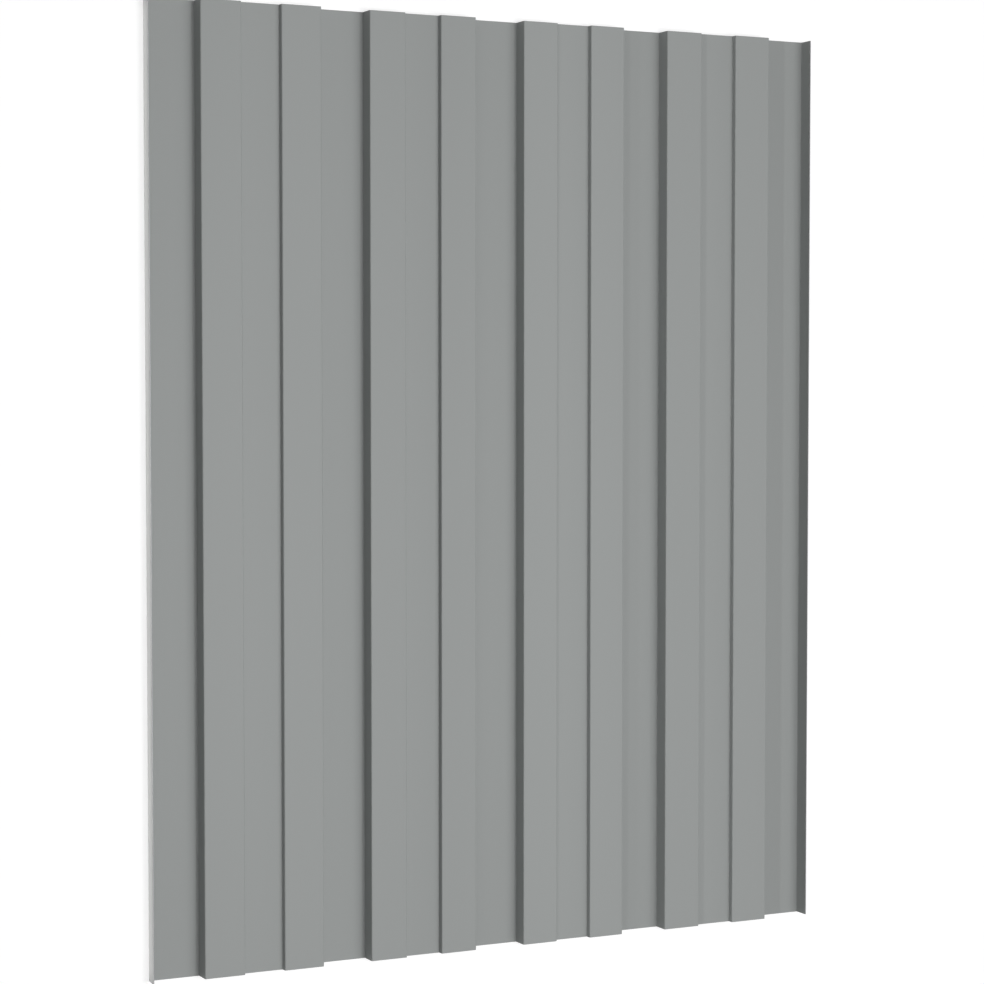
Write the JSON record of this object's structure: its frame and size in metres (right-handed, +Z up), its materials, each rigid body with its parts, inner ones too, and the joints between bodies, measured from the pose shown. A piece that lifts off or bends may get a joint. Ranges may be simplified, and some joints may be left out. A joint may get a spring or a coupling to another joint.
{
  "type": "corrugated metal sheet",
  "caption": "Flat-lying coated steel sheet with square box ribs along its length, each rib with a shallow groove on top, flat valleys between them and a turned-up lip along both long edges.",
  "frame": {"origin": "centre of the sheet's outline, on the plane of the valleys' undersides", "axes": "+X across the ribs, +Y along the ribs, +Z up, out of the front face"},
  "size_m": [0.4686, 0.6, 0.011],
  "materials": {
    "grey_coat": "satin grey coat on the front, pale grey backing coat on the reverse, bare zinc-grey steel on the cut edges"
  },
  "bodies": {
    "root": {"profiled_sheet": "grey_coat"}
  },
  "joints": []
}
